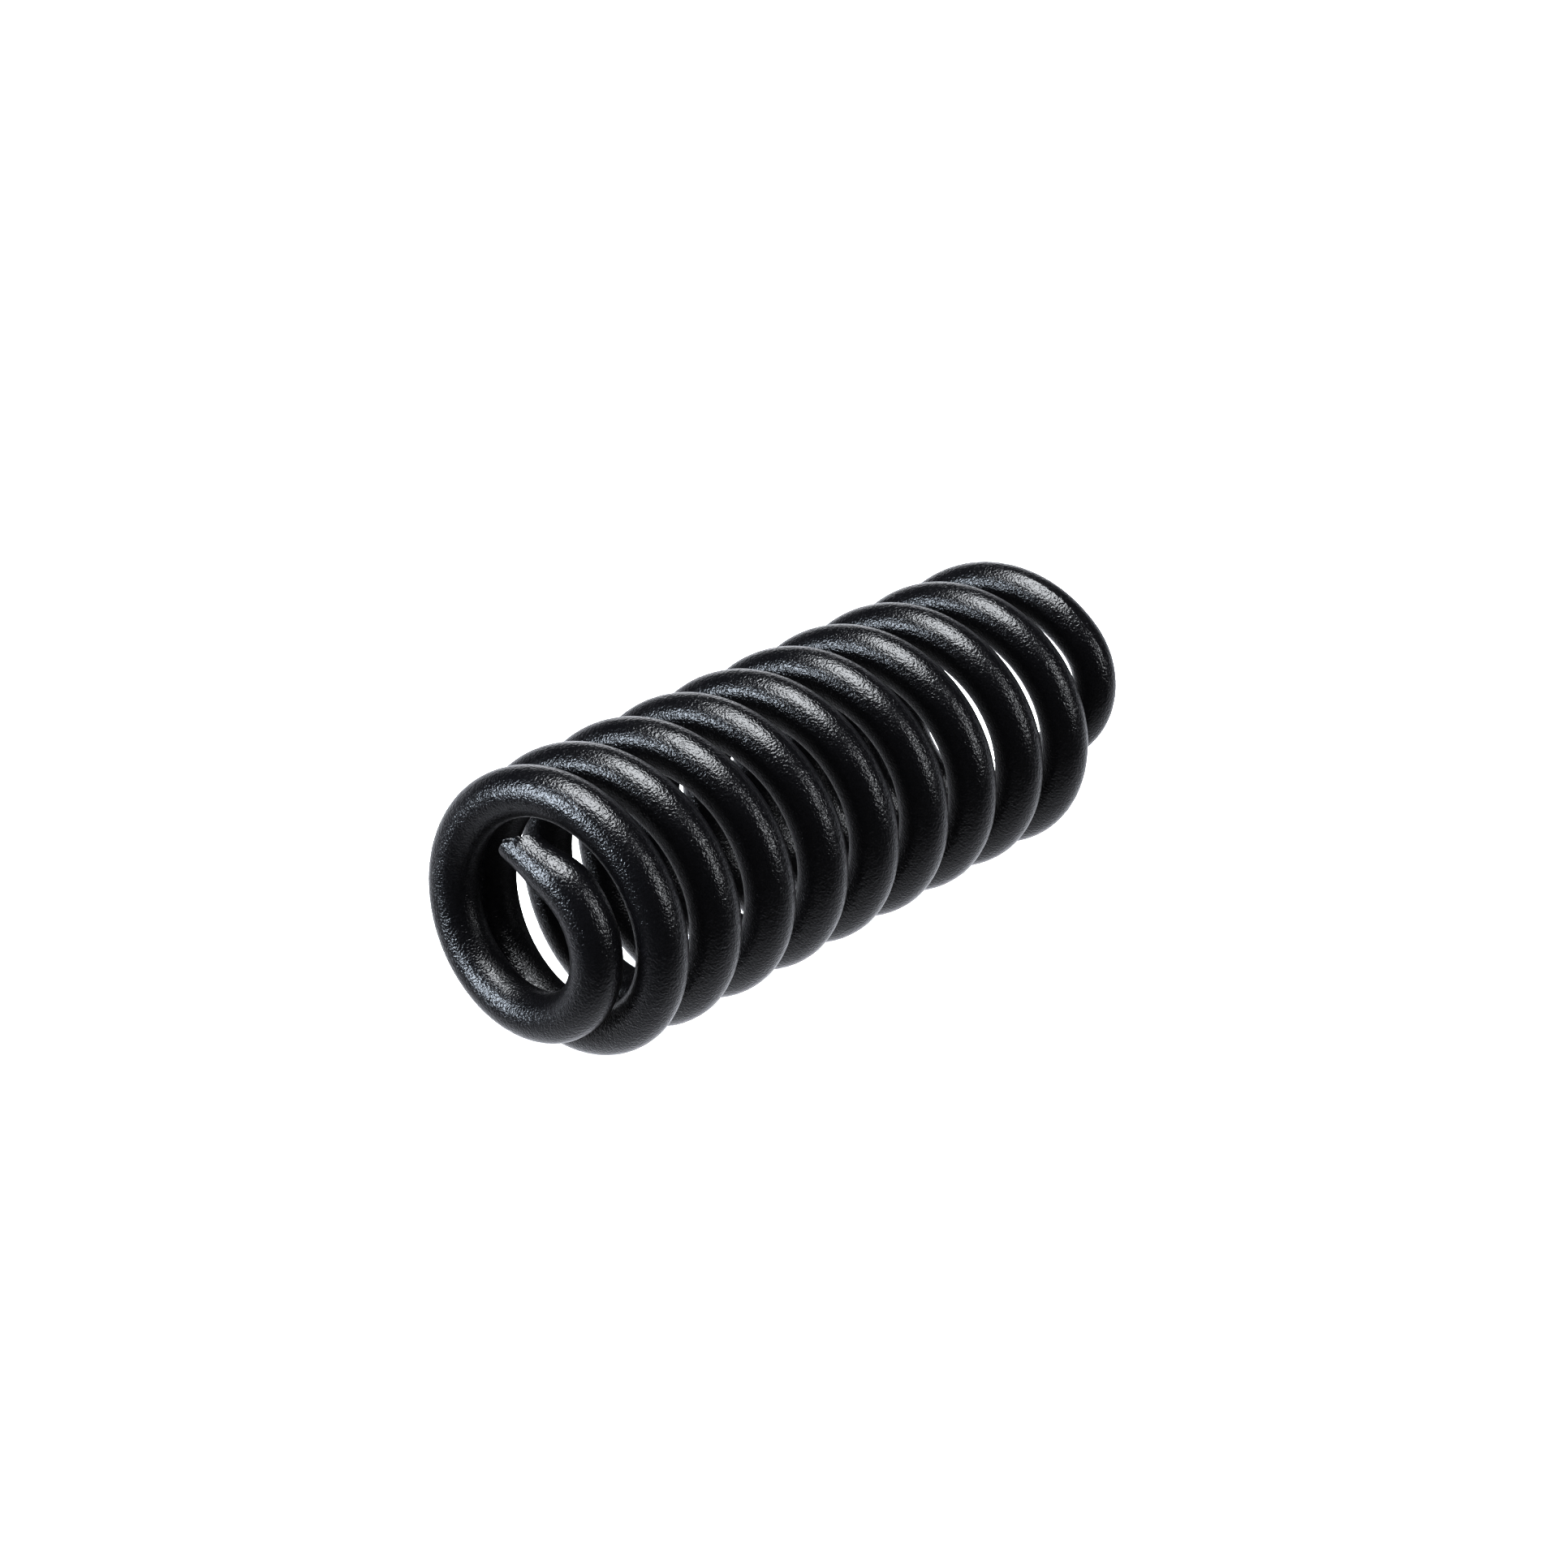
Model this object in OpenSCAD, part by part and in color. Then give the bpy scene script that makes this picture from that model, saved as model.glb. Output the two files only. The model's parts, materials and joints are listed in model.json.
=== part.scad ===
// Coil spring of a suspension shock: one round steel wire under a thick powder coat, wound
// right-handed, with both ends drawn in to a smaller coil.
// The spring lies along X on the floor, Z = 0, with its near end towards -X.
// Each turn of the wire is a sub-part of its own, because each turn closes up by its own share
// when the spring is squeezed. Turns meet on flat cuts that hold the spring's axis. Both tips are
// sheared off at a slant.

/* [Wire] */
// Diameter of the coated wire
wire_d = 10; // [8:0.5:10.5]
// Wire thickness left at a sheared tip, as a share of wire_d
tip_slim = 0.76; // [0.6:0.02:1]
// Turns over which the near tip thins down
near_slim_turns = 0.13; // [0.05:0.01:0.3]
// Turns over which the far tip thins down
far_slim_turns = 0.6; // [0.1:0.01:0.7]
// Radius of the worn edge round a tip
tip_edge = 0.6; // [0.2:0.1:1]
// Turns at a tip that run on straight
tip_straight_turns = 0.09; // [0:0.01:0.1]
// Mean length sheared off a tip
tip_cut = 1.4; // [0:0.1:3]
// How far the sheared face slants to either side of that
tip_slant = 2.8; // [0:0.1:3.5]
// Short side of the sheared face, from outwards towards the middle of the spring
tip_slant_angle = 39; // [0:1:90]
// Turns at a tip that lean over with its sheared face
tip_slant_turns = 0.22; // [0.1:0.01:0.3]

/* [Coil] */
// Mean diameter of the full coils, from wire centre to wire centre
coil_d = 50.5; // [48:0.5:56]
// Rise of one full turn
pitch = 16.4; // [16:0.1:20]
// Turns from tip to tip
turns = 10.57; // [10.3:0.01:11]
// Angle of the near tip about the axis, from +Y towards +Z
start_angle = 82; // [0:1:359]

/* [Ends] */
// Mean diameter of the coil at both tips
tip_coil_d = 29.5; // [28:0.5:34]
// Turns over which the near end opens out to the full coil
near_open_turns = 1.09; // [0.9:0.01:1.4]
// Rise per turn at the near tip
near_rise = 5; // [5:0.5:16]
// Turns over which the near rise grows to the full pitch
near_rise_turns = 2.04; // [1:0.01:2.1]
// Turns next to the far tip that keep its small diameter
far_hold_turns = 0.16; // [0:0.01:0.2]
// Turns over which the far end opens out to the full coil
far_open_turns = 0.25; // [0.2:0.01:1]
// Rise per turn at the far tip
far_rise = 4; // [2:0.5:16]
// Turns over which the far rise grows to the full pitch
far_rise_turns = 0.45; // [0.3:0.01:1]

/* [Facets] */
// Cross-sections along one turn
rings_per_turn = 45; // [24:1:48]
// Corners of one cross-section
ring_sides = 18; // [12:2:24]

/* [Hidden] */
// Smallest difference in turns that the slopes are taken over
tiny = 0.0005;
// Height of the axis, with the lowest facets of the full coils on the floor
axis_height = -min(reach(4, 5, 2));
// Middle of the spring's length
middle = (min(reach(0, 1, 0)) + max(reach(10, turns, 0))) / 2;

// ---- the winding, as functions of u, the number of turns from the near tip ----

// Soft step from 0 to 1, and the area under it
function ramp(t) = t <= 0 ? 0 : t >= 1 ? 1 : t * t * (3 - 2 * t);
function ramp_area(t) = t <= 0 ? 0 : t >= 1 ? t - 0.5 : pow(t, 3) - pow(t, 4) / 2;

// Turns left to the nearer tip
function from_tip(u) = min(u, turns - u);

// Mean radius of the winding. A straight stretch at a tip moves away from the axis again.
function opening(t) = tip_coil_d / coil_d + (1 - tip_coil_d / coil_d) * ramp(t);
function straightening(u) = 1 / cos(360 * max(tip_straight_turns - from_tip(u), 0));
function coil_r(u) = coil_d / 2 * opening(u / near_open_turns)
    * opening((turns - u - far_hold_turns) / far_open_turns) * straightening(u);

// Distance along the axis, less what the slow last turns at the far end lose
function far_loss(left) = (pitch - far_rise)
    * (left - far_rise_turns * ramp_area((left - far_hold_turns) / far_rise_turns));
function along(u) = near_rise * u
    + (pitch - near_rise) * near_rise_turns * ramp_area(u / near_rise_turns)
    - far_loss(turns) + far_loss(turns - u);

// Radius of the wire, thinner towards a tip and rounded at its edge
function tip_run(u) = from_tip(u) * PI * tip_coil_d;
function edge_loss(run) = run >= tip_edge ? 0
    : tip_edge - sqrt(pow(tip_edge, 2) - pow(tip_edge - run, 2));
function fullness(u) = ramp(u < turns / 2 ? u / near_slim_turns : (turns - u) / far_slim_turns);
function wire_r(u) = wire_d / 2 * (tip_slim + (1 - tip_slim) * fullness(u)) - edge_loss(tip_run(u));

// Growth of a distance per radian of winding, as a share of the coil radius
function coil_slope(u) = (coil_r(u + tiny) - coil_r(u - tiny)) / (4 * PI * tiny * coil_r(u));
function rise_slope(u) = (along(u + tiny) - along(u - tiny)) / (4 * PI * tiny * coil_r(u));

// Turns that one side of the wire is shifted by near a tip, for the slant of the sheared face
function cut(side, spread) = (tip_cut + spread * cos(side - tip_slant_angle)) / (PI * tip_coil_d);
function lean(u, side, spread) = max(1 - from_tip(u) / tip_slant_turns, 0)
    * (u < turns / 2 ? cut(side, spread) : -cut(-side, spread));

// A round wire that climbs through a plane on the axis leaves an oval there, longer in the
// direction of the climb
function oval(w, m) = w + m * (w * m) / (1 + sqrt(1 + m * m));

// Point at v, w away from the middle of the wire, outwards and along the axis
function place(v, w) =
    let (
        q = oval(w, [coil_slope(v), rise_slope(v)]),
        beta = start_angle + 360 * v,
        r = coil_r(v) + q[0]
    )
        [along(v) + q[1], r * cos(beta), r * sin(beta)];

// Corners of one cross-section, and the middle of a sheared face
function ring(u) = [
    for (i = [0 : ring_sides - 1])
        let (side = 360 * i / ring_sides)
            place(u + lean(u, side, tip_slant), wire_r(u) * [cos(side), sin(side)])
];
function face_middle(u) = place(u + lean(u, 0, 0), [0, 0]);

// Places of the cross-sections between two cuts, with closer ones round the edge of a tip
function edge_stations() = [for (share = [0, 0.1, 0.35, 1]) share * tip_edge / (PI * tip_coil_d)];
function stations(from, to) = concat(
    from == 0 ? edge_stations() : [from],
    [for (k = [1 : ceil((to - from) * rings_per_turn - 0.3) - 1]) from + k / rings_per_turn],
    to == turns ? [for (i = [3 : -1 : 0]) turns - edge_stations()[i]] : [to]
);

// Every corner's distance along one direction, 0 for X or 2 for Z, between two cuts
function reach(from, to, direction) = [
    for (u = stations(from, to)) for (p = ring(u)) p[direction]
];

// ---- one length of wire ----

// Wire between two places on the winding, closed by a fan of facets at each end
module wire(from, to) {
    places = stations(from, to);
    last = len(places) - 1;
    middles = len(places) * ring_sides;
    corners = concat([for (u = places) each ring(u)], [face_middle(from), face_middle(to)]);
    walls = [
        for (k = [0 : last - 1])
            for (i = [0 : ring_sides - 1])
                let (
                    a = k * ring_sides + i,
                    b = k * ring_sides + (i + 1) % ring_sides,
                    c = b + ring_sides,
                    d = a + ring_sides
                )
                    each [[a, b, c], [a, c, d]]
    ];
    ends = [
        for (i = [0 : ring_sides - 1])
            let (j = (i + 1) % ring_sides, k = last * ring_sides)
                each [[j, i, middles], [k + i, k + j, middles + 1]]
    ];
    color([0.05, 0.05, 0.06])
        translate([-middle, 0, axis_height])
            polyhedron(corners, concat(walls, ends), convexity = 4);
}

// ---- sub-parts, from the near tip to the far tip ----

module near_end_coil() wire(0, 1);
module coil_02() wire(1, 2);
module coil_03() wire(2, 3);
module coil_04() wire(3, 4);
module coil_05() wire(4, 5);
module coil_06() wire(5, 6);
module coil_07() wire(6, 7);
module coil_08() wire(7, 8);
module coil_09() wire(8, 9);
module coil_10() wire(9, 10);
module far_end_coil() wire(10, turns);

near_end_coil();
coil_02();
coil_03();
coil_04();
coil_05();
coil_06();
coil_07();
coil_08();
coil_09();
coil_10();
far_end_coil();
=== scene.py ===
import json
import math
import bpy
from mathutils import Matrix, Vector

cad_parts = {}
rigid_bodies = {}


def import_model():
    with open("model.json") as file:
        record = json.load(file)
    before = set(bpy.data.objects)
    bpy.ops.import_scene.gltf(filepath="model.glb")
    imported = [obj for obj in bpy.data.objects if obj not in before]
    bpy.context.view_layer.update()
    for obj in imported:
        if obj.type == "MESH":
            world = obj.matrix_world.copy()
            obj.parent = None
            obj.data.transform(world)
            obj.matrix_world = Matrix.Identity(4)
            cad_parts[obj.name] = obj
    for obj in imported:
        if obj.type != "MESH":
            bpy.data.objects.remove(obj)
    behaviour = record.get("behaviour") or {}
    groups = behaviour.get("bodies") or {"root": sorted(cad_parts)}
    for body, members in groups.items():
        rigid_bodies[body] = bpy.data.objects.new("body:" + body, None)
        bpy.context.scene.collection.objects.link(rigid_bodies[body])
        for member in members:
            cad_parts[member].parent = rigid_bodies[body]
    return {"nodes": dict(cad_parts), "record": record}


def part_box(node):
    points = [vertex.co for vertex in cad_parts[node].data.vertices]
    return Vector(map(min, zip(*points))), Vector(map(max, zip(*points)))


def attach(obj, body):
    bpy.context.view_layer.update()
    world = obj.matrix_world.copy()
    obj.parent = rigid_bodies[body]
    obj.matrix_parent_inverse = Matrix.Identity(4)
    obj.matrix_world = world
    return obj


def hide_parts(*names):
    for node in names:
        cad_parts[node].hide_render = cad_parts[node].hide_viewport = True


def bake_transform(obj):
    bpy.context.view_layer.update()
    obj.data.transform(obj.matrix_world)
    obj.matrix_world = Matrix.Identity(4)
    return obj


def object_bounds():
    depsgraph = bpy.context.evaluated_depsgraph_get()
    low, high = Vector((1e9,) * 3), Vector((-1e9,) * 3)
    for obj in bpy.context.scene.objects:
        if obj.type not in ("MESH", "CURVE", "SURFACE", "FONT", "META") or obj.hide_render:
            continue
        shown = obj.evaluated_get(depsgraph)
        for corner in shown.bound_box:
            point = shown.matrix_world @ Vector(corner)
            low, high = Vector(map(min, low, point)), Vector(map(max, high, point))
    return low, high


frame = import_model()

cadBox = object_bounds()
print("frame loaded:", len(frame["nodes"]), "coils")


# coils in order, from the fixed end outwards
def coilOrder():
    joints = frame["record"]["behaviour"]["joints"]
    nextBody = {joint["parent"]: joint["child"] for joint in joints}
    body = (set(nextBody) - set(nextBody.values())).pop()  # the body that is no joint's child
    order = [body]
    while body in nextBody:
        body = nextBody[body]
        order.append(body)
    return order


bodies = coilOrder()
nodeOf = {body: names[0] for body, names in frame["record"]["behaviour"]["bodies"].items()}

# how far the near coil reaches past the middle of the wire at its tip
nearReach = 0.0043248

# the winding, in metres and turns
winding = {
    "Wire Across": 0.010,
    "Coil Across": 0.0505,
    "Tip Coil Across": 0.0295,
    "Pitch": 0.0164,
    "Turns": 10.57,
    "Start Angle": math.radians(82),
    "Near Open Turns": 1.09,
    "Near Rise": 0.005,
    "Near Rise Turns": 2.04,
    "Far Hold Turns": 0.16,
    "Far Open Turns": 0.25,
    "Far Rise": 0.004,
    "Far Rise Turns": 0.45,
    "Tip Slim": 0.76,
    "Near Slim Turns": 0.13,
    "Far Slim Turns": 0.6,
    "Tip Edge": 0.0006,
    "Tip Straight Turns": 0.09,
    "Tip Cut": 0.0014,
    "Tip Slant": 0.0028,
    "Tip Slant Angle": math.radians(39),   # short side, from outwards to the spring's middle
    "Tip Slant Turns": 0.22,
    "Tip Tear": 0.0003,        # roughness of the sheared face
    "Tip Tear Reach": 0.0009,
    "Bead Height": 0.0005,     # lumps of coat on the sheared edge
    "Bead Reach": 0.0016,
    "Waviness": 0.00007,
    "Crease Height": 0.00016,  # left on the last coil where the end was bent in
    "Crease Width": 0.0004,
    "Crease Angle": math.radians(-19),
    "Crease Turn": 10.125,
    "Crease Turns": 0.17,
    "Crease Wander": 0.0014,
    "Rings": 400,
    "Sides": 96,
    "Cap Rings": 22,
}

# how far across the lumps and waves in the coat's shape are, in metres
patterns = {
    "bead": 0.0011,
    "tear": 0.0016,
    "wave": 0.0024,
    "wander": 0.008,
}


def link(tree, value, socket):
    if isinstance(value, bpy.types.NodeSocket):
        tree.links.new(value, socket)
    else:
        socket.default_value = value


def maths(tree, operation, *values):
    node = tree.nodes.new("ShaderNodeMath")
    node.operation = operation
    for socket, value in zip(node.inputs, values):
        link(tree, value, socket)
    return node.outputs[0]


def vectorMaths(tree, operation, *values, out=0):
    node = tree.nodes.new("ShaderNodeVectorMath")
    node.operation = operation
    for socket, value in zip(node.inputs, values):
        link(tree, value, socket)
    return node.outputs[out]


def scaled(tree, vector, factor):
    node = tree.nodes.new("ShaderNodeVectorMath")
    node.operation = "SCALE"
    link(tree, vector, node.inputs[0])
    link(tree, factor, node.inputs["Scale"])
    return node.outputs[0]


def combine(tree, x, y, z):
    node = tree.nodes.new("ShaderNodeCombineXYZ")
    for socket, value in zip(node.inputs, (x, y, z)):
        link(tree, value, socket)
    return node.outputs[0]


def separate(tree, vector):
    node = tree.nodes.new("ShaderNodeSeparateXYZ")
    link(tree, vector, node.inputs[0])
    return node.outputs


def spread(tree, value, start, end, first, last, kind="SMOOTHSTEP"):
    # first at start, last at end, and held beyond them
    node = tree.nodes.new("ShaderNodeMapRange")
    node.interpolation_type = kind
    names = ("Value", "From Min", "From Max", "To Min", "To Max")
    for name, amount in zip(names, (value, start, end, first, last)):
        link(tree, amount, node.inputs[name])
    return node.outputs[0]


def softStep(tree, value, length):
    return spread(tree, value, 0.0, length, 0.0, 1.0)


def softStepArea(tree, value, length):  # area under softStep from 0 to value
    t = maths(tree, "DIVIDE", value, length)
    c = maths(tree, "MINIMUM", maths(tree, "MAXIMUM", t, 0.0), 1.0)
    cube = maths(tree, "POWER", c, 3.0)
    curved = maths(tree, "MULTIPLY", cube, maths(tree, "MULTIPLY_ADD", c, -0.5, 1.0))
    straight = maths(tree, "MAXIMUM", maths(tree, "SUBTRACT", t, 1.0), 0.0)
    return maths(tree, "MULTIPLY", maths(tree, "ADD", curved, straight), length)


def hump(tree, value, middle, width):   # 1 at the middle, falling off softly on both sides
    off = maths(tree, "DIVIDE", maths(tree, "SUBTRACT", value, middle), width)
    return maths(tree, "EXPONENT", maths(tree, "MULTIPLY", maths(tree, "POWER", off, 2.0), -1.0))


def noise(tree, place, across, detail=1.0, distortion=0.0):
    node = tree.nodes.new("ShaderNodeTexNoise")
    link(tree, place, node.inputs["Vector"])
    link(tree, 1 / across, node.inputs["Scale"])
    link(tree, detail, node.inputs["Detail"])
    link(tree, distortion, node.inputs["Distortion"])
    return node.outputs[0]


def coilRadius(tree, ends, turn):
    # mean radius of the winding, small at both tips
    tipShare = maths(tree, "DIVIDE", ends["Tip Coil Across"], ends["Coil Across"])
    left = maths(tree, "SUBTRACT", ends["Turns"], turn)
    held = maths(tree, "SUBTRACT", left, ends["Far Hold Turns"])
    radius = maths(tree, "MULTIPLY", ends["Coil Across"], 0.5)
    for run, length in ((turn, ends["Near Open Turns"]), (held, ends["Far Open Turns"])):
        opened = softStep(tree, run, length)
        spare = maths(tree, "SUBTRACT", 1.0, tipShare)
        share = maths(tree, "MULTIPLY_ADD", opened, spare, tipShare)
        radius = maths(tree, "MULTIPLY", radius, share)
    fromTip = maths(tree, "MINIMUM", turn, left)
    straight = maths(tree, "SUBTRACT", ends["Tip Straight Turns"], fromTip)
    angle = maths(tree, "MULTIPLY", maths(tree, "MAXIMUM", straight, 0.0), 2 * math.pi)
    return maths(tree, "DIVIDE", radius, maths(tree, "COSINE", angle))


def grown(tree, ends, turn, full, nearSlow, nearTurns, farSlow, farTurns):
    # a length that grows by full each turn, and by less near the two tips
    nearGain = maths(tree, "MULTIPLY", maths(tree, "SUBTRACT", full, nearSlow),
                     softStepArea(tree, turn, nearTurns))
    total = maths(tree, "MULTIPLY_ADD", nearSlow, turn, nearGain)

    def lost(left):
        held = maths(tree, "SUBTRACT", left, ends["Far Hold Turns"])
        return maths(tree, "SUBTRACT", left, softStepArea(tree, held, farTurns))

    left = maths(tree, "SUBTRACT", ends["Turns"], turn)
    loss = maths(tree, "MULTIPLY", maths(tree, "SUBTRACT", full, farSlow),
                 maths(tree, "SUBTRACT", lost(ends["Turns"]), lost(left)))
    return maths(tree, "SUBTRACT", total, loss)


def alongAxis(tree, ends, turn):
    return grown(tree, ends, turn, ends["Pitch"], ends["Near Rise"], ends["Near Rise Turns"],
                 ends["Far Rise"], ends["Far Rise Turns"])


def wireLength(tree, ends, turn):
    fullTurn = maths(tree, "MULTIPLY", ends["Coil Across"], math.pi)
    tipTurn = maths(tree, "MULTIPLY", ends["Tip Coil Across"], math.pi)
    return grown(tree, ends, turn, fullTurn, tipTurn, ends["Near Open Turns"],
                 tipTurn, ends["Far Open Turns"])


def windingSlope(tree, ends, turn, radius):
    # what the radius and the place along the axis gain per radian, as shares of the radius
    tiny = 0.001   # turns to either side that the slopes are taken over
    before = maths(tree, "SUBTRACT", turn, tiny)
    after = maths(tree, "ADD", turn, tiny)
    perRadian = maths(tree, "MULTIPLY", radius, 4 * math.pi * tiny)
    slopes = []
    for measure in (coilRadius, alongAxis):
        gain = maths(tree, "SUBTRACT", measure(tree, ends, after), measure(tree, ends, before))
        slopes.append(maths(tree, "DIVIDE", gain, perRadian))
    return combine(tree, slopes[0], slopes[1], 0.0)


def ovalSection(tree, across, slope):
    # a round wire that climbs through a plane on the axis leaves an oval there
    climb = vectorMaths(tree, "DOT_PRODUCT", across, slope, out=1)
    steep = vectorMaths(tree, "DOT_PRODUCT", slope, slope, out=1)
    root = maths(tree, "ADD", maths(tree, "SQRT", maths(tree, "ADD", steep, 1.0)), 1.0)
    stretch = scaled(tree, slope, maths(tree, "DIVIDE", climb, root))
    return separate(tree, vectorMaths(tree, "ADD", across, stretch))


def rimSetBack(tree, ends, fromRim):
    # how far the round edge of a tip lies behind its face
    leftOfEdge = maths(tree, "MAXIMUM", maths(tree, "SUBTRACT", ends["Tip Edge"], fromRim), 0.0)
    squares = maths(tree, "SUBTRACT", maths(tree, "POWER", ends["Tip Edge"], 2.0),
                    maths(tree, "POWER", leftOfEdge, 2.0))
    return maths(tree, "SUBTRACT", ends["Tip Edge"], maths(tree, "SQRT", squares))


def edgeLumps(tree, ends, place, edgeRun, towardsShort):
    # lumps of powder on the sheared edge, none on its long side
    lump = maths(tree, "MULTIPLY_ADD", noise(tree, place, patterns["bead"]), 4.0, -1.7)
    lump = maths(tree, "MULTIPLY", maths(tree, "MAXIMUM", lump, 0.0), ends["Bead Height"])
    nearEdge = maths(tree, "SUBTRACT", 1.0, softStep(tree, edgeRun, ends["Bead Reach"]))
    lump = maths(tree, "MULTIPLY", lump, nearEdge)
    return maths(tree, "MULTIPLY", lump, spread(tree, towardsShort, -0.75, 0.15, 0.0, 1.0))


def tornFace(tree, ends, place, fromFace, lump):
    # the face is rough, and the lumps on its edge stand proud of it
    onFace = maths(tree, "SUBTRACT", 1.0, softStep(tree, fromFace, ends["Tip Tear Reach"]))
    rough = maths(tree, "SUBTRACT", noise(tree, place, patterns["tear"], 3.0), 0.5)
    torn = maths(tree, "MULTIPLY", ends["Tip Tear"], rough)
    return maths(tree, "MULTIPLY", onFace, maths(tree, "MULTIPLY_ADD", lump, 0.7, torn))


def creaseHeight(tree, ends, turn, outwards, wireRadius, place):
    # a low line along the outside of the last coil
    sine = maths(tree, "SINE", ends["Crease Angle"])
    cosine = maths(tree, "COSINE", ends["Crease Angle"])
    awayFromLine = combine(tree, sine, maths(tree, "MULTIPLY", cosine, -1.0), 0.0)
    wander = maths(tree, "MULTIPLY", ends["Crease Wander"],
                   maths(tree, "SUBTRACT", noise(tree, place, patterns["wander"]), 0.5))
    away = vectorMaths(tree, "DOT_PRODUCT", outwards, awayFromLine, out=1)
    line = hump(tree, maths(tree, "MULTIPLY_ADD", away, wireRadius, wander), 0.0,
                ends["Crease Width"])
    isOutside = maths(tree, "GREATER_THAN", separate(tree, outwards)[0], 0.0)
    halfLength = maths(tree, "MULTIPLY", ends["Crease Turns"], 0.5)
    line = maths(tree, "MULTIPLY", line, isOutside)
    line = maths(tree, "MULTIPLY", line, hump(tree, turn, ends["Crease Turn"], halfLength))
    return maths(tree, "MULTIPLY", line, ends["Crease Height"])


def makeSockets(tree):
    face = tree.interface
    for name in ("From Turn", "To Turn", "Start X", "Axis Height"):
        face.new_socket(name=name, in_out="INPUT", socket_type="NodeSocketFloat")
    for name, value in winding.items():
        kind = "NodeSocketInt" if isinstance(value, int) else "NodeSocketFloat"
        face.new_socket(name=name, in_out="INPUT", socket_type=kind)
    face.new_socket(name="Finish", in_out="INPUT", socket_type="NodeSocketMaterial")
    face.new_socket(name="Wire", in_out="OUTPUT", socket_type="NodeSocketGeometry")


def makeTube(tree, ends):
    # a closed tube stands for the wire laid out straight: z runs along it, x and y across it
    tube = tree.nodes.new("GeometryNodeMeshCylinder")
    tube.fill_type = "NGON"
    link(tree, ends["Sides"], tube.inputs["Vertices"])
    link(tree, ends["Rings"], tube.inputs["Side Segments"])
    link(tree, ends["Cap Rings"], tube.inputs["Fill Segments"])
    link(tree, 1.0, tube.inputs["Radius"])
    link(tree, 1.0, tube.inputs["Depth"])
    return tube.outputs["Mesh"]


def finishWire(tree, ends, mesh, position, turn, wirePlace):
    geometry = mesh
    for kind, name, value in (("FLOAT", "turn", turn), ("FLOAT_VECTOR", "wirePlace", wirePlace)):
        kept = tree.nodes.new("GeometryNodeStoreNamedAttribute")
        kept.data_type = kind
        link(tree, geometry, kept.inputs["Geometry"])
        link(tree, name, kept.inputs["Name"])
        link(tree, value, kept.inputs["Value"])
        geometry = kept.outputs[0]
    moved = tree.nodes.new("GeometryNodeSetPosition")
    link(tree, geometry, moved.inputs["Geometry"])
    link(tree, position, moved.inputs["Position"])
    smooth = tree.nodes.new("GeometryNodeSetShadeSmooth")
    link(tree, moved.outputs[0], smooth.inputs["Geometry"])
    real = tree.nodes.new("GeometryNodeRealizeInstances")
    link(tree, smooth.outputs[0], real.inputs[0])
    painted = tree.nodes.new("GeometryNodeSetMaterial")
    link(tree, real.outputs[0], painted.inputs["Geometry"])
    link(tree, ends["Finish"], painted.inputs["Material"])
    link(tree, painted.outputs[0], tree.nodes.new("NodeGroupOutput").inputs[0])


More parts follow.
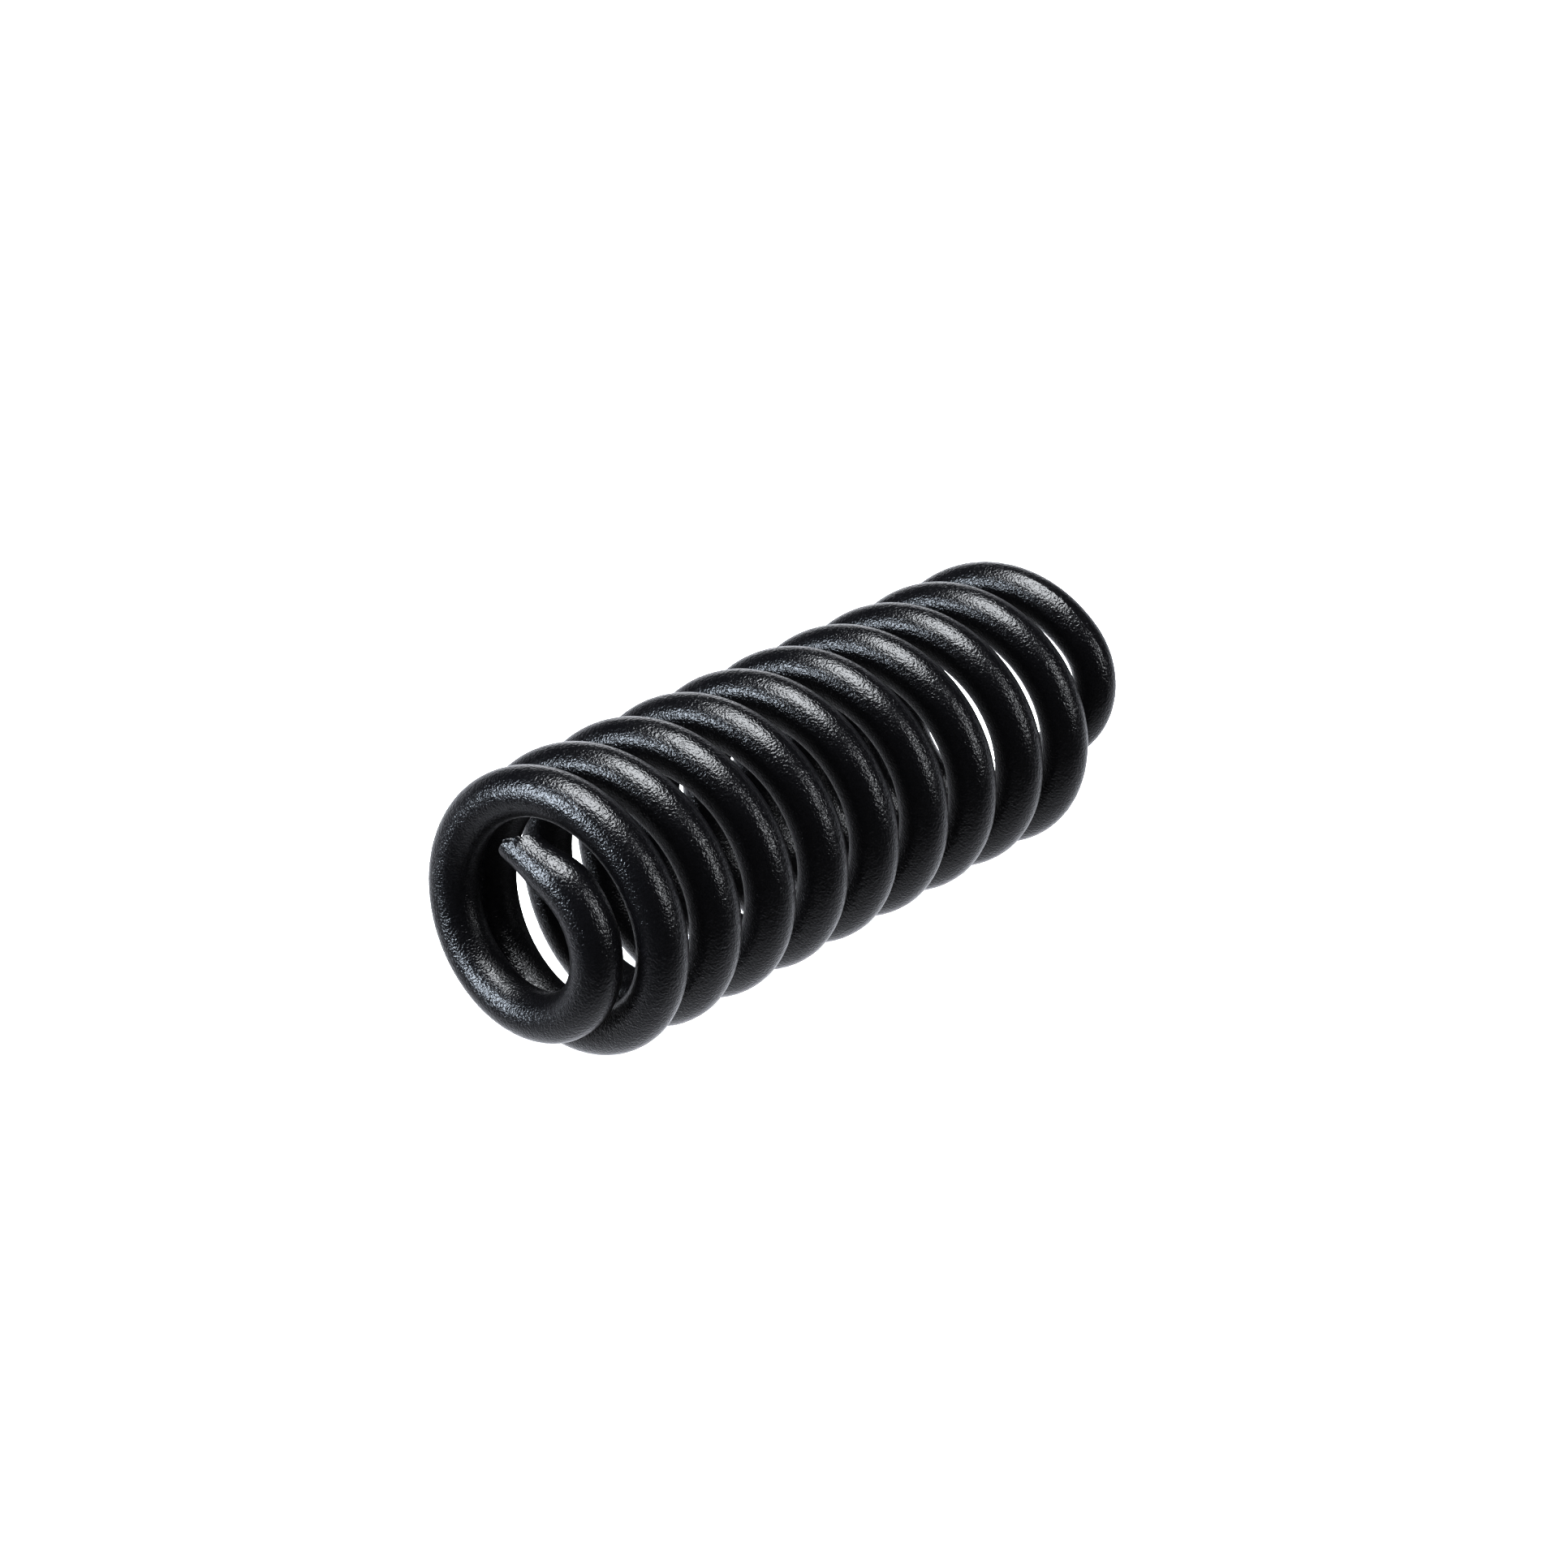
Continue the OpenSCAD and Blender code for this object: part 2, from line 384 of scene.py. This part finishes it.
def makeWireTree():
    tree = bpy.data.node_groups.new("wound wire", "GeometryNodeTree")
    makeSockets(tree)
    ends = tree.nodes.new("NodeGroupInput").outputs
    mesh = makeTube(tree, ends)
    onTube = separate(tree, tree.nodes.new("GeometryNodeInputPosition").outputs[0])
    onDisc = combine(tree, onTube[0], onTube[1], 0.0)
    outwards = vectorMaths(tree, "MULTIPLY", vectorMaths(tree, "NORMALIZE", onDisc),
                           (1.0, -1.0, 0.0))
    side = separate(tree, outwards)   # away from the spring's axis, and along it

    # cap rings crowd towards the rim, where the edge is round
    crowding = 1.6
    share = vectorMaths(tree, "LENGTH", onDisc, out=1)
    inner = maths(tree, "POWER", maths(tree, "SUBTRACT", 1.0, share), crowding)
    share = maths(tree, "SUBTRACT", 1.0, inner)

    # turn number of each ring, and the wire's thickness there
    span = maths(tree, "SUBTRACT", ends["To Turn"], ends["From Turn"])
    plain = maths(tree, "MULTIPLY_ADD", maths(tree, "ADD", onTube[2], 0.5), span,
                  ends["From Turn"])
    left = maths(tree, "SUBTRACT", ends["Turns"], plain)
    fromTip = maths(tree, "MINIMUM", plain, left)
    fullness = maths(tree, "MINIMUM", softStep(tree, plain, ends["Near Slim Turns"]),
                     softStep(tree, left, ends["Far Slim Turns"]))
    thick = maths(tree, "MULTIPLY_ADD", fullness, maths(tree, "SUBTRACT", 1.0, ends["Tip Slim"]),
                  ends["Tip Slim"])
    wireRadius = maths(tree, "MULTIPLY", maths(tree, "MULTIPLY", ends["Wire Across"], 0.5), thick)

    # the rounded rim of a tip is set back from its face
    fromRim = maths(tree, "MULTIPLY", wireRadius, maths(tree, "SUBTRACT", 1.0, share))
    tipTurnLength = maths(tree, "MULTIPLY", ends["Tip Coil Across"], math.pi)
    setBack = maths(tree, "DIVIDE", rimSetBack(tree, ends, fromRim), tipTurnLength)
    upright = maths(tree, "MINIMUM", maths(tree, "MAXIMUM", plain, setBack),
                    maths(tree, "SUBTRACT", ends["Turns"], setBack))

    # place on the straight wire: along it, outwards and along the spring's axis
    reachOut = maths(tree, "MULTIPLY", wireRadius, share)
    out = maths(tree, "MULTIPLY", side[0], reachOut)
    along = maths(tree, "MULTIPLY", side[1], reachOut)
    uprightPlace = combine(tree, wireLength(tree, ends, upright), out, along)

    # the sheared faces slant, and the wire behind them leans with them
    isFar = maths(tree, "GREATER_THAN", plain, left)
    inwards = maths(tree, "MULTIPLY_ADD", isFar, -2.0, 1.0)   # 1 at the near tip, -1 at the far
    sine = maths(tree, "MULTIPLY", maths(tree, "SINE", ends["Tip Slant Angle"]), inwards)
    shortSide = combine(tree, maths(tree, "COSINE", ends["Tip Slant Angle"]), sine, 0.0)
    towardsShort = maths(tree, "MULTIPLY", share,
                         vectorMaths(tree, "DOT_PRODUCT", outwards, shortSide, out=1))
    shear = maths(tree, "MULTIPLY_ADD", towardsShort, ends["Tip Slant"], ends["Tip Cut"])
    fade = maths(tree, "SUBTRACT", 1.0, maths(tree, "DIVIDE", fromTip, ends["Tip Slant Turns"]))
    shear = maths(tree, "MULTIPLY", shear, maths(tree, "MAXIMUM", fade, 0.0))
    fromFace = maths(tree, "MULTIPLY", fromTip, tipTurnLength)
    lump = edgeLumps(tree, ends, uprightPlace, maths(tree, "MAXIMUM", fromFace, fromRim),
                     towardsShort)
    shear = maths(tree, "SUBTRACT", shear, tornFace(tree, ends, uprightPlace, fromFace, lump))
    lean = maths(tree, "MULTIPLY", maths(tree, "DIVIDE", shear, tipTurnLength), inwards)
    turn = maths(tree, "ADD", upright, lean)

    # waviness of the coat, the same field for every length of wire, so lengths meet
    wirePlace = combine(tree, wireLength(tree, ends, turn), out, along)
    wave = maths(tree, "SUBTRACT", noise(tree, wirePlace, patterns["wave"], 3.0), 0.5)
    bumps = maths(tree, "MULTIPLY_ADD", wave, ends["Waviness"], lump)
    bumps = maths(tree, "ADD", bumps,
                  creaseHeight(tree, ends, turn, outwards, wireRadius, wirePlace))
    reach = maths(tree, "MULTIPLY", maths(tree, "ADD", wireRadius, bumps), share)

    # wind it round the axis
    radius = coilRadius(tree, ends, turn)
    section = ovalSection(tree, scaled(tree, outwards, reach),
                          windingSlope(tree, ends, turn, radius))
    angle = maths(tree, "MULTIPLY_ADD", turn, 2 * math.pi, ends["Start Angle"])
    fromAxis = maths(tree, "ADD", radius, section[0])
    x = maths(tree, "ADD", maths(tree, "ADD", alongAxis(tree, ends, turn), section[1]),
              ends["Start X"])
    y = maths(tree, "MULTIPLY", fromAxis, maths(tree, "COSINE", angle))
    z = maths(tree, "MULTIPLY_ADD", fromAxis, maths(tree, "SINE", angle), ends["Axis Height"])
    finishWire(tree, ends, mesh, combine(tree, x, y, z), turn, wirePlace)
    return tree


def setInputs(modifier, values):
    for item in modifier.node_group.interface.items_tree:
        if item.item_type == "SOCKET" and item.in_out == "INPUT" and item.name in values:
            modifier[item.identifier] = values[item.name]


def makeWire(name, tree, values):
    carrier = bpy.data.objects.new(name + "Carrier", bpy.data.meshes.new(name + "Carrier"))
    bpy.context.scene.collection.objects.link(carrier)
    modifier = carrier.modifiers.new("wound wire", "NODES")
    modifier.node_group = tree
    setInputs(modifier, values)
    bpy.context.view_layer.update()
    evaluated = carrier.evaluated_get(bpy.context.evaluated_depsgraph_get())
    mesh = bpy.data.meshes.new_from_object(evaluated)
    bpy.data.objects.remove(carrier)
    mesh.name = name
    mesh.set_sharp_from_angle(angle=math.radians(50))
    piece = bpy.data.objects.new(name, mesh)
    bpy.context.scene.collection.objects.link(piece)
    return piece


coat = {
    "colour": (0.0042, 0.0042, 0.0052, 1),
    "roughness": (0.275, 0.32),   # smoothest and roughest patches
    "gloss": 0.46,                # a glossier skin over the coat
    "glossRoughness": 0.14,
    "patchAcross": 0.006,
    "specular": 0.2,
    "wrinkleAcross": 0.00085,
    "wrinkleDepth": 0.000014,
    "grainAcross": 0.00046,
    "grainDepth": 0.00015,
}


def makeCoat():
    material = bpy.data.materials.new("black powder coat")
    material.use_nodes = True
    tree = material.node_tree
    shader = tree.nodes["Principled BSDF"]
    shader.inputs["Base Color"].default_value = coat["colour"]
    shader.inputs["Specular IOR Level"].default_value = coat["specular"]
    shader.inputs["Coat Weight"].default_value = coat["gloss"]
    shader.inputs["Coat Roughness"].default_value = coat["glossRoughness"]
    placed = tree.nodes.new("ShaderNodeAttribute")
    placed.attribute_name = "wirePlace"
    place = placed.outputs["Vector"]

    # worm-like wrinkles of the fired powder, the crests where a noise crosses its middle
    field = noise(tree, place, coat["wrinkleAcross"], 1.0, 0.7)
    crest = maths(tree, "ABSOLUTE", maths(tree, "SUBTRACT", field, 0.5))
    wrinkles = maths(tree, "MULTIPLY_ADD", maths(tree, "MINIMUM", crest, 0.12), -8.0, 1.0)
    grain = noise(tree, place, coat["grainAcross"], 1.0, 0.3)
    height = maths(tree, "MULTIPLY", wrinkles, coat["wrinkleDepth"])
    height = maths(tree, "MULTIPLY_ADD", grain, coat["grainDepth"], height)
    bump = tree.nodes.new("ShaderNodeBump")
    link(tree, 1.0, bump.inputs["Strength"])
    link(tree, 1.0, bump.inputs["Distance"])
    link(tree, height, bump.inputs["Height"])
    link(tree, bump.outputs[0], shader.inputs["Normal"])
    link(tree, bump.outputs[0], shader.inputs["Coat Normal"])

    patches = noise(tree, place, coat["patchAcross"], 3.0)
    smoothest, roughest = coat["roughness"]
    rough = spread(tree, patches, 0.3, 0.7, smoothest, roughest, "LINEAR")
    link(tree, rough, shader.inputs["Roughness"])
    return material


def makeSpring():
    tree = makeWireTree()
    finish = makeCoat()
    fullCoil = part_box(nodeOf[bodies[len(bodies) // 2 - 1]])
    outside = (winding["Coil Across"] + winding["Wire Across"]) / 2
    shared = dict(winding)
    shared["Finish"] = finish
    shared["Axis Height"] = fullCoil[1].z - outside
    shared["Start X"] = cadBox[0].x + nearReach
    pieces = []
    for i, body in enumerate(bodies):
        values = dict(shared)
        values["From Turn"] = float(i)
        values["To Turn"] = min(i + 1.0, winding["Turns"])
        node = nodeOf[body]
        piece = makeWire(node + "_wire", tree, values)
        if i == 0:
            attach(piece, body)
        else:
            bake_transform(piece)
            followTurns(piece)
        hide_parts(node)
        pieces.append(piece)
        print("wound", piece.name, len(piece.data.polygons), "faces")
    return pieces


def followTurns(piece):
    # reads the turn number of each ring of the wire; nothing is done with it, so the piece does
    # not move with the bodies
    turns = [0.0] * len(piece.data.vertices)
    piece.data.attributes["turn"].data.foreach_get("value", turns)


makeSpring()


floor = {
    "halfSize": 6.0,
    "below": 0.0001,
    "colour": (0.86, 0.86, 0.86, 1),
    "glowNear": 0.8,
    "glowFar": 1.0,
    "glowReach": 1.2,   # metres from the spring to where the floor glows fully
}


backdrop = {
    "across": 11.8,
    "height": 5.0,
    "sides": 64,
}


def makePale(name, corners, faces):
    # a pale glowing sheet that the coat doesn't mirror: it mirrors the sweep of the world instead
    mesh = bpy.data.meshes.new(name)
    mesh.from_pydata(corners, [], faces)
    sheet = bpy.data.objects.new(name, mesh)
    bpy.context.scene.collection.objects.link(sheet)
    sheet.visible_glossy = False
    material = bpy.data.materials.new("pale " + name)
    material.use_nodes = True
    shader = material.node_tree.nodes["Principled BSDF"]
    shader.inputs["Base Color"].default_value = floor["colour"]
    shader.inputs["Roughness"].default_value = 0.8
    shader.inputs["Specular IOR Level"].default_value = 0.1
    shader.inputs["Emission Color"].default_value = (1, 1, 1, 1)
    shader.inputs["Emission Strength"].default_value = floor["glowFar"]
    mesh.materials.append(material)
    return sheet


def makeFloor():
    half, below = floor["halfSize"], -floor["below"]
    corners = [(-half, -half, below), (half, -half, below), (half, half, below),
               (-half, half, below)]
    sheet = makePale("floor", corners, [(0, 1, 2, 3)])
    tree = sheet.data.materials[0].node_tree
    placed = tree.nodes.new("ShaderNodeTexCoord")
    away = vectorMaths(tree, "LENGTH", placed.outputs["Object"], out=1)
    glow = spread(tree, away, 0.0, floor["glowReach"], floor["glowNear"], floor["glowFar"])
    link(tree, glow, tree.nodes["Principled BSDF"].inputs["Emission Strength"])


def makeBackdrop():
    # a pale wall all round, only there to be seen behind the spring from low down
    radius, height, sides = backdrop["across"] / 2, backdrop["height"], backdrop["sides"]
    corners = []
    for i in range(sides):
        angle = 2 * math.pi * i / sides
        for z in (-0.01, height):
            corners.append((radius * math.cos(angle), radius * math.sin(angle), z))
    panels = []
    for i in range(sides):
        a, b = 2 * i, 2 * ((i + 1) % sides)
        panels.append((a, a + 1, b + 1, b))
    wall = makePale("backdrop", corners, panels)
    wall.visible_diffuse = False
    wall.visible_shadow = False


# softboxes round the spring: direction in degrees from +X towards +Y and up, size in metres
softboxes = {
    "left": {"heading": 153, "up": 14, "away": 2.2, "size": (0.94, 1.5), "power": 128,
             "colour": (0.85, 0.92, 1.0)},
    "right": {"heading": 283, "up": 22, "away": 2.2, "size": (0.45, 1.7), "power": 44,
              "colour": (0.97, 0.985, 1.0)},
    "above": {"heading": 180, "up": 82, "away": 2.2, "size": (1.6, 2.0), "power": 215,
              "colour": (0.96, 0.98, 1.0)},
    "behind": {"heading": 41, "up": 10, "away": 2.6, "size": (1.6, 0.7), "power": 5,
               "colour": (1.0, 1.0, 1.0)},
}


def makeSoftbox(name, box):
    data = bpy.data.lights.new(name, "AREA")
    data.shape = "RECTANGLE"
    data.size, data.size_y = box["size"]
    data.energy = box["power"]
    data.color = box["colour"]
    heading, up = math.radians(box["heading"]), math.radians(box["up"])
    towards = Vector((math.cos(up) * math.cos(heading), math.cos(up) * math.sin(heading),
                      math.sin(up)))
    lamp = bpy.data.objects.new(name, data)
    lamp.location = Vector((0, 0, 0.03)) + towards * box["away"]
    lamp.rotation_mode = "QUATERNION"
    lamp.rotation_quaternion = (-towards).to_track_quat("-Z", "Y")
    bpy.context.scene.collection.objects.link(lamp)


view = {
    "heading": 39.06,       # from +X towards +Y, degrees
    "downwards": 22.97,
    "distance": 0.78317,
    "lens": 88.35,
    "aimRight": -0.00041,   # of the spring's middle, metres
    "aimUp": 0.00342,
}


def makeCamera():
    heading, down = math.radians(view["heading"]), math.radians(view["downwards"])
    forwards = Vector((math.cos(down) * math.cos(heading), math.cos(down) * math.sin(heading),
                       -math.sin(down)))
    right = forwards.cross(Vector((0, 0, 1))).normalized()
    up = right.cross(forwards)
    low, high = cadBox
    middle = Vector(((low.x + high.x) / 2, 0, (low.z + high.z) / 2))
    aim = middle + right * view["aimRight"] + up * view["aimUp"]
    data = bpy.data.cameras.new("camera")
    data.lens = view["lens"]
    data.sensor_width = 36
    data.clip_start, data.clip_end = 0.01, 50
    camera = bpy.data.objects.new("camera", data)
    turn = Matrix((right, up, -forwards)).transposed().to_4x4()
    camera.matrix_world = Matrix.Translation(aim - forwards * view["distance"]) @ turn
    bpy.context.scene.collection.objects.link(camera)
    bpy.context.scene.camera = camera


# a pale sweep starts under the spring and rises behind it; the room in front is dark
world = {
    "colour": (0.93, 0.95, 1, 1),
    "sweep": (0.6, -0.8),        # its middle: share away from the room, share up
    "sweepHeading": 39,
    "sweepFrom": 0.05,
    "sweepTo": 0.55,
    "bright": 1.7,
    "dark": 0.02,
}


def makeWorld():
    sky = bpy.data.worlds.new("studio")
    sky.use_nodes = True
    tree = sky.node_tree
    background = tree.nodes["Background"]
    background.inputs["Color"].default_value = world["colour"]
    level, up = world["sweep"]
    heading = math.radians(world["sweepHeading"])
    middle = Vector((level * math.cos(heading), level * math.sin(heading), up)).normalized()
    placed = tree.nodes.new("ShaderNodeTexCoord")
    near = vectorMaths(tree, "DOT_PRODUCT", placed.outputs["Generated"], tuple(middle), out=1)
    fade = spread(tree, near, world["sweepFrom"], world["sweepTo"], world["dark"],
                  world["bright"])
    link(tree, fade, background.inputs["Strength"])
    bpy.context.scene.world = sky


makeFloor()
makeBackdrop()
makeWorld()
for name, box in softboxes.items():
    makeSoftbox(name, box)
makeCamera()
bpy.context.scene.view_settings.view_transform = "Standard"
bpy.context.scene.view_settings.gamma = 0.66   # a little more contrast
print("studio ready")
